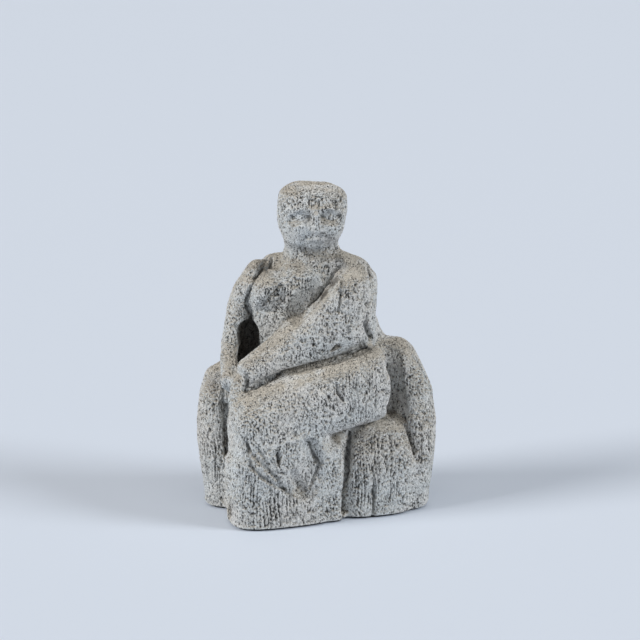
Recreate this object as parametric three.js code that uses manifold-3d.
// Venus sculpture: a seated, draped woman carved from one block of pale porous stone, with a thin felt sheet
// glued under it. Millimetres, +Z up, origin at the centre of the underside on the table, -Y to the front.
// Left and right are the viewer's, looking at the front.

import * as THREE from 'three';
import { mergeVertices } from 'three/addons/utils/BufferGeometryUtils.js';
import Module from 'manifold-3d';

const wasm = await Module();
wasm.setup();

// Felt sheet under the stone
const feltThickness = 2;
const feltSetback = 3.5;

// Carved front of the block, turned a little, with its reach from the origin to each side along that front
const frontTurn = 20;
const frontReach = 55;
const frontLeft = 89;
const frontRight = 82;
const groovePlace = 8;

// Heights, each one on top of the one before
const seatHeight = 94;
const torsoLength = 128;
const neckLength = 23;
const headHeight = 54;

// Head and neck
const headWidth = 62;
const headDepth = 66;
const headForward = 11;
const jawWidth = 56;
const neckWidth = 46;
const neckDepth = 50;

// Trunk
const shoulderSpan = 106;
const shoulderDepth = 64;
const chestWidth = 116;
const waistWidth = 100;
const torsoDepth = 74;
const torsoSetback = 17;
const bellyDepth = 48;
const breastWidth = 42;
const breastHeight = 34;

// Left arm, a narrow band round a deep armpit
const armDrop = 68;
const armSpread = 27;
const armBow = 7;
const armWidth = 19.5;
const armDepth = 32;
const handLength = 26;
const handRise = 32;
const armpitWidth = 20;
const armpitHeight = 46;
const armpitDepth = 60;

// Right arm in a broad sleeve
const sleeveHeight = 66;
const sleeveDepth = 42;
const cuffHeight = 34;
const upperArmWidth = 30;
const upperArmDepth = 52;
const undercutWidth = 24;
const scoopWidth = 18;
const scoopReach = 48;

// Hips and the robe behind
const hipSpan = 219;
const hipWidth = 50;
const hipDepth = 62;
const leftHipRise = 30;
const rightHipRise = 52;
const backReach = 78;
const skirtDepth = 82;
const robeDepth = 46;
const valleyWidth = 19;

// Legs
const thighHeight = 62;
const thighDepth = 54;
const gapReach = 26;
const gapHeight = 8;
const kneeForward = 52;
const kneeOut = 56;
const shinDepth = 58;
const foldWidth = 24;
const foldHeight = 80;
const lowerLegHeight = 84;
const lowerLegDepth = 50;
const coreDepth = 78;

// Creases between the forms, and the draped folds of the robe behind
const creaseWidth = 7;
const creaseDepth = 8;
const hollowWidth = 20;
const hollowDepth = 6;
const drapeWidth = 24;
const drapeDepth = 5.5;
const hemWidth = 14;
const hemDepth = 4.5;
const spineWidth = 34;
const spineDepth = 5;

// The columns run on below the underside, where the flat cut takes them off
const overrun = 20;

// Facets
const sidesFine = 24;
const sidesPlain = 20;
const sidesCrease = 8;

const X = new THREE.Vector3(1, 0, 0);
const Y = new THREE.Vector3(0, 1, 0);
const Z = new THREE.Vector3(0, 0, 1);
const turn = THREE.MathUtils.degToRad(frontTurn);
const alongFront = X.clone().applyAxisAngle(Z, turn);

const at = (x, y, z) => new THREE.Vector3(x, y, z);
const moved = (point, x, y, z) => point.clone().add(at(x, y, z));
const between = (a, b, share) => a.clone().lerp(b, share);
const section = (centre, wide, deep) => ({ centre, wide: wide / 2, deep: deep / 2 });

// Place given along the turned front, by its depth behind that front and its height
const behindFront = (along, depth, height) => at(along, depth - frontReach, height).applyAxisAngle(Z, turn);

// Landmarks of the figure
const shoulderHeight = seatHeight + torsoLength;
const hipReach = (hipSpan - hipWidth) / 2;

const seat = at(0, torsoSetback + 4, seatHeight);
const shoulders = at(0, torsoSetback, shoulderHeight);
const jaw = at(-5, torsoSetback - headForward, shoulderHeight + neckLength);
const crown = moved(jaw, 3, 1, headHeight);
const leftShoulder = moved(shoulders, 4 - shoulderSpan / 2, -2, -8);
const leftElbow = moved(leftShoulder, -armSpread, -18, -armDrop);
const rightShoulder = moved(shoulders, shoulderSpan / 2 - 12, -8, -12);
const sleeveBend = moved(rightShoulder, -16, -22, -20);
const leftHip = at(-hipReach, torsoSetback + 3, 0);
const rightHip = at(hipReach, torsoSetback + 6, 0);
const thighRoot = at(46, -8, seatHeight + thighHeight / 2 - 5);
const knee = at(-kneeOut, -kneeForward, thighRoot.z - thighHeight / 2 - 1);
const leftHand = moved(knee, -13, 6, handRise);
const rightHand = moved(leftHand, 12, 2, 14);

// Solid with shared vertices merged, ready to be joined and cut
function solid(geometry) {
  geometry.deleteAttribute('normal');
  geometry.deleteAttribute('uv');
  const merged = mergeVertices(geometry, 1e-4);
  return new wasm.Manifold(new wasm.Mesh({
    numProp: 3,
    vertProperties: new Float32Array(merged.attributes.position.array),
    triVerts: new Uint32Array(merged.index.array),
  }));
}

// Closed body drawn out along a smooth path through its sections, which are superellipses: corner 2 is an
// ellipse and higher values are squarer. Domes of the given lengths close its ends. An inset narrows it all
// round.
function drawnOut({
  sections,
  across = X,
  corner = 2.5,
  sides = sidesPlain,
  rings = 8,
  domeRings = 4,
  domes = [8, 8],
  inset = 0,
}) {
  const path = new THREE.CatmullRomCurve3(sections.map((s) => s.centre));
  const sizes = new THREE.CatmullRomCurve3(sections.map((s) => at(s.wide - inset, s.deep - inset, 0)));
  const rows = rings + 2 * domeRings;
  const geometry = new THREE.SphereGeometry(1, sides, rows);
  const position = geometry.attributes.position;
  const squared = (value) => Math.sign(value) * Math.abs(value) ** (2 / corner);
  for (let row = 0; row <= rows; row += 1) {
    const step = row - domeRings;
    const share = THREE.MathUtils.clamp(step / rings, 0, 1);
    const past = (step - share * rings) / domeRings;
    const outward = Math.sin(Math.abs(past) * (Math.PI / 2));
    const tangent = path.getTangent(share);
    const wide = across.clone().addScaledVector(tangent, -across.dot(tangent)).normalize();
    const deep = tangent.clone().cross(wide);
    const centre = path.getPoint(share);
    centre.addScaledVector(tangent, Math.sign(past) * outward * domes[past < 0 ? 0 : 1]);
    const size = sizes.getPoint(share).multiplyScalar((1 - outward ** corner) ** (1 / corner));
    for (let side = 0; side <= sides; side += 1) {
      const angle = (side / sides) * 2 * Math.PI;
      const point = centre.clone();
      point.addScaledVector(wide, -squared(Math.cos(angle)) * size.x);
      point.addScaledVector(deep, squared(Math.sin(angle)) * size.y);
      position.setXYZ(row * (sides + 1) + side, point.x, point.y, point.z);
    }
  }
  return solid(geometry);
}

// Level slab wider than the sculpture
function slab(bottom, top) {
  const box = new THREE.BoxGeometry(2 * hipSpan, 2 * hipSpan, top - bottom);
  box.translate(0, 0, (bottom + top) / 2);
  return solid(box);
}

// Hip at one side: stands on the table and leans inward by its lean as it rises. Low down it lies forward.
function hip(place, rise, lean, forward, inset) {
  const low = moved(place, 0, -forward, 0);
  return drawnOut({
    sections: [
      section(at(low.x * 0.92, low.y, -overrun), hipWidth - 4, hipDepth - 6),
      section(at(low.x * 0.95, low.y, 12), hipWidth - 2, hipDepth - 3),
      section(at(low.x, low.y + 2, seatHeight * 0.6), hipWidth + 1, hipDepth),
      section(at(place.x, place.y + 4, seatHeight), hipWidth, hipDepth),
      section(at(place.x - lean, place.y + 8, seatHeight + rise * 0.7), hipWidth * 0.9, hipDepth * 0.8),
    ],
    sides: sidesFine,
    rings: 9,
    domes: [8, rise * 0.42],
    inset,
  });
}

// Robe spread on the ground behind the hips, rounded in to the back
function skirt(inset) {
  const depth = backReach - skirtDepth / 2;
  return drawnOut({
    sections: [
      section(at(0, depth, -overrun), hipSpan - 40, skirtDepth - 4),
      section(at(0, depth, seatHeight * 0.6), hipSpan - 30, skirtDepth),
      section(at(0, depth - 2, seatHeight), hipSpan - 38, skirtDepth - 2),
      section(at(-4, depth - 7, seatHeight + 32), hipSpan - 66, skirtDepth - 20),
    ],
    sides: sidesFine,
    rings: 7,
    domes: [8, 28],
    inset,
  });
}

// Shin under the knee: the left part of the carved front, wider towards the ground
function shin(inset) {
  const width = frontLeft + groovePlace;
  const middle = width / 2 - frontLeft;
  return drawnOut({
    sections: [
      section(behindFront(middle, shinDepth / 2, -overrun), width, shinDepth),
      section(behindFront(middle - 4, shinDepth / 2 - 2, knee.z * 0.45), width + 2, shinDepth),
      section(behindFront(middle - 6, shinDepth / 2 - 6, knee.z * 0.8), width - 2, shinDepth + 2),
      section(behindFront(middle - 15, shinDepth / 2 - 6, knee.z + 8), width - 26, shinDepth - 4),
    ],
    across: alongFront,
    corner: 3,
    sides: sidesFine,
    rings: 9,
    domes: [8, 24],
    inset,
  });
}

// Upright fold of cloth beside the groove in the front
function frontFold(inset) {
  const depth = foldWidth / 2 + 10;
  return drawnOut({
    sections: [
      section(behindFront(groovePlace - 8, depth, -overrun), foldWidth + 8, foldWidth + 16),
      section(behindFront(groovePlace - 10, depth, foldHeight), foldWidth, foldWidth + 14),
    ],
    across: alongFront,
    rings: 4,
    inset,
  });
}

// Tucked lower leg under its cloth: the right part of the carved front, with a rounded top
function lowerLeg(inset) {
  const width = frontRight - groovePlace;
  const middle = groovePlace + width / 2;
  const depth = lowerLegDepth / 2 + 3;
  return drawnOut({
    sections: [
      section(behindFront(middle - 3, depth, -overrun), width - 8, lowerLegDepth),
      section(behindFront(middle + 1, depth, 20), width + 2, lowerLegDepth),
      section(behindFront(middle + 2, depth, lowerLegHeight * 0.6), width + 2, lowerLegDepth),
      section(behindFront(middle + 3, depth + 3, lowerLegHeight - 18), width - 14, lowerLegDepth - 4),
    ],
    across: alongFront,
    corner: 2.8,
    sides: sidesFine,
    rings: 7,
    domes: [8, 18],
    inset,
  });
}

// Block left between the front and the hips, which the grooves at both sides stop at
function core(inset) {
  const width = frontLeft + frontRight - 28;
  const middle = (frontRight - frontLeft) / 2 - 9;
  const depth = coreDepth / 2 + 19;
  return drawnOut({
    sections: [
      section(behindFront(middle, depth, -overrun), width, coreDepth),
      section(behindFront(middle, depth, lowerLegHeight), width - 4, coreDepth),
    ],
    across: alongFront,
    corner: 3,
    rings: 4,
    domes: [8, 20],
    inset,
  });
}

// All that stands on the table
function standing(inset) {
  return [
    hip(leftHip, leftHipRise, -4, 0, inset),
    hip(rightHip, rightHipRise, 14, 9, inset),
    skirt(inset),
    shin(inset),
    frontFold(inset),
    lowerLeg(inset),
    core(inset),
  ];
}

function head() {
  return drawnOut({
    sections: [
      section(moved(jaw, 0, 0, 4), jawWidth - 6, headDepth * 0.86),
      section(between(jaw, crown, 0.3), jawWidth + 3, headDepth),
      section(between(jaw, crown, 0.55), headWidth, headDepth),
      section(between(jaw, crown, 0.74), headWidth - 1, headDepth - 2),
    ],
    corner: 2.6,
    sides: sidesFine,
    domes: [7, headHeight * 0.28],
  });
}

function neck() {
  return drawnOut({
    sections: [
      section(moved(shoulders, -1, 0, -14), neckWidth + 46, neckDepth + 4),
      section(moved(shoulders, -4, 0, neckLength * 0.26), neckWidth + 18, neckDepth + 2),
      section(moved(shoulders, -5, 2, neckLength * 0.72), neckWidth + 2, neckDepth - 5),
      section(moved(jaw, 0, 8, 6), neckWidth, neckDepth - 5),
    ],
  });
}

function torso() {
  return drawnOut({
    sections: [
      section(moved(seat, 0, 0, -10), waistWidth + 6, torsoDepth),
      section(moved(between(seat, shoulders, 0.42), -1, 0, 0), waistWidth, torsoDepth),
      section(moved(between(seat, shoulders, 0.72), -5, 0, 0), chestWidth, torsoDepth),
      section(moved(shoulders, -1, 0, -10), shoulderSpan + 2, shoulderDepth),
      section(moved(shoulders, -6, 0, 1), shoulderSpan - 12, shoulderDepth - 6),
    ],
    sides: sidesFine,
    rings: 11,
    domes: [10, 13],
  });
}

// Robe over the back, which closes the space behind the arms
function robe() {
  const low = moved(seat, 0, 20, 10);
  const high = moved(shoulders, -1, 12, -8);
  return drawnOut({
    sections: [
      section(low, chestWidth + 46, robeDepth + 10),
      section(moved(between(low, high, 0.38), -4, 0, 0), chestWidth + 23, robeDepth + 8),
      section(moved(between(low, high, 0.7), -8, 0, 0), shoulderSpan + 6, robeDepth + 2),
      section(high, shoulderSpan - 6, robeDepth - 4),
    ],
    corner: 2.2,
    sides: sidesFine,
    domes: [10, 14],
  });
}

function breast() {
  const place = moved(leftShoulder, 5, 7 - torsoDepth / 4, -8);
  return drawnOut({
    sections: [
      section(place, breastWidth, breastWidth),
      section(moved(place, 0, -1, -breastHeight / 4), breastWidth, breastWidth),
    ],
    corner: 2,
    rings: 3,
    domes: [breastHeight * 0.4, breastHeight * 0.4],
  });
}

// Robe over the belly, which closes the space between the thigh and the sleeve
function belly() {
  return drawnOut({
    sections: [
      section(moved(seat, -2, -bellyDepth / 2 - 10, 6), waistWidth - 6, bellyDepth),
      section(moved(seat, -2, -bellyDepth / 2 - 12, 40), waistWidth - 14, bellyDepth - 4),
    ],
    rings: 5,
    domes: [8, 24],
  });
}

// Left arm: bows out from the shoulder and comes round to the hand on the knee
function leftArm() {
  const bow = (share) => -armBow * Math.sin(Math.PI * share);
  const upper = (share) => moved(between(leftShoulder, leftElbow, share), bow(share), 4, 0);
  return drawnOut({
    sections: [
      section(leftShoulder, armWidth + 12, armDepth + 10),
      section(moved(upper(0.28), -1, 0, 0), armWidth + 9, armDepth + 4),
      section(moved(upper(0.62), 1, 0, 0), armWidth + 3, armDepth),
      section(leftElbow, armWidth, armDepth - 2),
      section(moved(between(leftElbow, leftHand, 0.6), -2, 0, -4), armWidth + 1, armDepth - 6),
      section(leftHand, armWidth + 4, handLength),
    ],
    rings: 14,
    domes: [12, 8],
  });
}

// Hands laid together on the knee
function hands() {
  const middle = between(leftHand, rightHand, 0.5);
  return drawnOut({
    sections: [
      section(moved(middle, 0, 2, -handRise / 3), handLength + 6, handLength),
      section(middle, handLength + 2, handLength - 2),
    ],
    corner: 2.2,
    rings: 3,
    domes: [handLength / 3, handLength / 3],
  });
}

// Right arm in its sleeve: wraps the shoulder, then runs as a broad wedge across the body to the hands
function sleeve() {
  return drawnOut({
    sections: [
      section(moved(rightShoulder, -8, 6, -5), sleeveHeight * 0.76, sleeveDepth - 4),
      section(sleeveBend, sleeveHeight + 2, sleeveDepth),
      section(moved(between(sleeveBend, rightHand, 0.36), 0, 0, -4), sleeveHeight * 0.78, sleeveDepth - 4),
      section(moved(between(sleeveBend, rightHand, 0.68), 0, 0, -3), sleeveHeight * 0.6, sleeveDepth - 8),
      section(rightHand, cuffHeight, sleeveDepth - 14),
    ],
    across: Z,
    corner: 2.8,
    sides: sidesFine,
    rings: 12,
  });
}

// Upper arm that hangs at the right side, behind the sleeve
function upperArm() {
  const outside = shoulderSpan / 2 + 2 - upperArmWidth / 2;
  return drawnOut({
    sections: [
      section(at(outside + 1, shoulders.y, shoulderHeight - 12), upperArmWidth, upperArmDepth - 10),
      section(at(outside, shoulders.y - 2, shoulderHeight - 34), upperArmWidth, upperArmDepth),
      section(at(outside - 1, shoulders.y - 2, shoulderHeight - 62), upperArmWidth, upperArmDepth),
    ],
    rings: 8,
    domes: [12, 12],
  });
}

// Thigh across the front, from the right hip to the knee
function thigh() {
  return drawnOut({
    sections: [
      section(moved(thighRoot, 6, 2, 1), thighHeight + 6, thighDepth),
      section(moved(between(thighRoot, knee, 0.36), 0, -8, 3), thighHeight + 2, thighDepth),
      section(moved(between(thighRoot, knee, 0.66), 0, -7, 7), thighHeight - 3, thighDepth),
      section(moved(knee, 2, 2, 7), thighHeight - 8, thighDepth),
    ],
    across: Z,
    corner: 3,
    sides: sidesFine,
    rings: 10,
    domes: [11, 19],
  });
}

// Hollow cut by a round-ended gouge drawn through the given points
function gouge(points, width, depth, { across = X, corner = 2 } = {}) {
  return drawnOut({
    sections: points.map((point) => section(point, width, depth)),
    across,
    corner,
    sides: 12,
    rings: 6,
    domeRings: 3,
    domes: [depth / 2, depth / 2].map((length) => Math.min(length, width / 2)),
  });
}

// Deep armpit between the left arm and the body
function armpit() {
  const middle = moved(leftElbow, armWidth / 2 + armpitWidth / 2 - 4.5, 0, armpitHeight / 2 - 16);
  const half = armpitHeight / 2 - armpitWidth / 2;
  return gouge([moved(middle, -2, 0, -half), middle, moved(middle, -1, 0, half)], armpitWidth, armpitDepth);
}

// Scoop in the chest under the sleeve's own edge
function undercut() {
  const edge = moved(sleeveBend, 0, -8, sleeveHeight / 2);
  const points = [moved(edge, -17, 2, -3), moved(edge, -30, 0, -20), moved(edge, -43, 0, -36)];
  return gouge(points, undercutWidth, undercutWidth);
}

// Straight-sided scoop that gives the sleeve its sharp upper edge
function sleeveScoop() {
  const aside = scoopWidth * 0.36;
  const innermost = shoulders.y - torsoDepth / 2 + 2;
  const edge = [[11, 38], [-6, 27], [-21, 9], [-37, -8]];
  const points = edge.map(([along, up]) => (
    at(sleeveBend.x + along - aside, innermost - scoopReach / 2, sleeveBend.z + up + aside)
  ));
  return gouge(points, scoopReach, scoopWidth, { across: Y, corner: 4 });
}

// Valley between the end of the thigh and the right hip
function valley() {
  const x = thighRoot.x + valleyWidth + 7;
  return gouge(
    [
      at(x + 3, thighRoot.y + 9, lowerLegHeight + valleyWidth / 2),
      at(x, thighRoot.y + 6, seatHeight + 20),
      at(x - 4, thighRoot.y + 8, seatHeight + rightHipRise - 4),
    ],
    valleyWidth,
    2.4 * valleyWidth,
  );
}

// Shadow gap under the thigh, cut in from the front
function underThigh() {
  const inward = thighRoot.y - thighDepth / 2 - 9;
  const places = [[12, -36], [-2, -39], [-16, -41], [-28, -43]];
  const points = places.map(([along, up]) => at(thighRoot.x + along, inward, thighRoot.z + up));
  return gouge(points, gapReach, gapHeight, { across: Y });
}

const joined = (bodies) => wasm.Manifold.union(bodies);

// Body as a three.js geometry
function geometryOf(body) {
  const mesh = body.getMesh();
  const geometry = new THREE.BufferGeometry();
  geometry.setAttribute('position', new THREE.BufferAttribute(new Float32Array(mesh.vertProperties), 3));
  geometry.setIndex(new THREE.BufferAttribute(new Uint32Array(mesh.triVerts), 1));
  return geometry;
}

// Tool that cuts creases into a body. Each is drawn on the body as seen from one side, through places given
// as [along, up] from a landmark, and is as wide and as deep as asked.
function creaseTool(body) {
  const skin = new THREE.Mesh(geometryOf(body), new THREE.MeshBasicMaterial({ side: THREE.DoubleSide }));
  const sight = new THREE.Raycaster();
  return ({ way, landmark, places, width = creaseWidth, depth = creaseDepth }) => {
    const along = Z.clone().cross(way).normalize();
    if (along.dot(X) + along.dot(Y) < 0) along.negate();
    const points = places.map(([aside, up]) => {
      const start = moved(landmark, 0, 0, up).addScaledVector(along, aside);
      sight.set(start.addScaledVector(way, -2 * hipSpan), way);
      return sight.intersectObject(skin)[0].point;
    });
    return drawnOut({
      sections: points.map((point) => section(point, width, 2 * depth)),
      across: points.at(-1).clone().sub(points[0]).cross(way).normalize(),
      corner: 2,
      sides: sidesCrease,
      rings: 2 * points.length - 2,
      domeRings: 2,
      domes: [width / 2, width / 2],
    });
  };
}

// Creases that part the arms, the sleeve, the thigh and the folds of cloth at the front
function frontCreases(crease) {
  const way = Y;
  const broad = { way, width: hollowWidth, depth: hollowDepth };
  return [
    // Between the sleeve and the thigh
    crease({ way, landmark: thighRoot, places: [[-106, 5], [-75, 18], [-33, 25], [-1, 33]] }),
    // Between the breast and the left arm
    crease({ way, landmark: leftShoulder, places: [[1, 12], [0, 0], [-9, -14], [-11, -36]], depth: 7 }),
    // Between the sleeve and the robe at the right
    crease({ way, landmark: sleeveBend, places: [[22, 9], [18, -13], [26, -33]] }),
    // Between the left hip and the shin
    crease({ way, landmark: knee, places: [[-22, 40], [-26, 10], [-25, -32], [-21, -76]], depth: 9 }),
    // Beside the front fold, and the groove that ends it
    crease({ ...broad, landmark: knee, places: [[52, -12], [56, -26], [44, -52]] }),
    crease({ way, landmark: knee, places: [[87, -12], [84, -40], [81, -78]] }),
    // Between the lower leg and the right hip
    crease({ way, landmark: thighRoot, places: [[40, -38], [43, -56], [44, -68]] }),
  ];
}

// Robe drawn across the back from the right shoulder to the left hip, and its hem hanging below
function backDrapes(crease) {
  const way = Y.clone().negate();
  const drape = { way, landmark: seat, width: drapeWidth, depth: drapeDepth };
  const hem = { way, landmark: seat, width: hemWidth, depth: hemDepth };
  return [
    crease({ ...drape, places: [[36, 110], [20, 78], [-6, 52], [-44, 34]] }),
    crease({ ...drape, places: [[42, 82], [28, 54], [4, 30], [-32, 10], [-66, 2]] }),
    crease({ ...drape, places: [[50, 42], [34, 18], [8, -2], [-30, -18]] }),
    crease({ ...drape, places: [[-3, 128], [0, 84]], width: spineWidth, depth: spineDepth }),
    ...[-56, -22, 20, 61].map((aside) => (
      crease({ ...hem, places: [[aside + 3, -22], [aside - 3, -52], [aside, -84]] })
    )),
  ];
}

// Upright folds of the robe over both hips
function sideFolds(crease) {
  return [[X, leftHip], [X.clone().negate(), rightHip]].flatMap(([way, landmark]) => (
    [-3, 27].map((aside) => crease({
      way,
      landmark,
      places: [[aside, 116], [aside + 3, 62], [aside - 2, 10]],
      width: hemWidth,
      depth: hemDepth,
    }))
  ));
}

// The hollows are cut once the forms are joined, and the creases are drawn on what they leave
function stone() {
  const trunk = joined([torso(), robe(), breast(), neck()]).subtract(undercut());
  const lap = joined([...standing(0), belly()]);
  const arms = [leftArm(), hands(), sleeve(), upperArm()];
  const forms = joined([lap, trunk, head(), thigh(), ...arms]);
  const hollowed = forms.subtract(joined([armpit(), sleeveScoop(), valley(), underThigh()]));
  const crease = creaseTool(hollowed);
  const creases = [...frontCreases(crease), ...backDrapes(crease), ...sideFolds(crease)];
  return hollowed.subtract(joined(creases)).subtract(slab(-2 * seatHeight, feltThickness));
}

function felt() {
  return joined(standing(feltSetback)).intersect(slab(0, feltThickness));
}

// Named mesh of a finished solid
function namedMesh(name, body, finish) {
  const geometry = geometryOf(body);
  geometry.computeVertexNormals();
  const result = new THREE.Mesh(geometry, new THREE.MeshStandardMaterial(finish));
  result.name = name;
  return result;
}

const sculpture = new THREE.Group();
sculpture.add(namedMesh('carved_figure', stone(), { color: 0xb9b7b1, roughness: 0.95, metalness: 0 }));
sculpture.add(namedMesh('felt_base', felt(), { color: 0x161618, roughness: 1, metalness: 0 }));

export default sculpture;
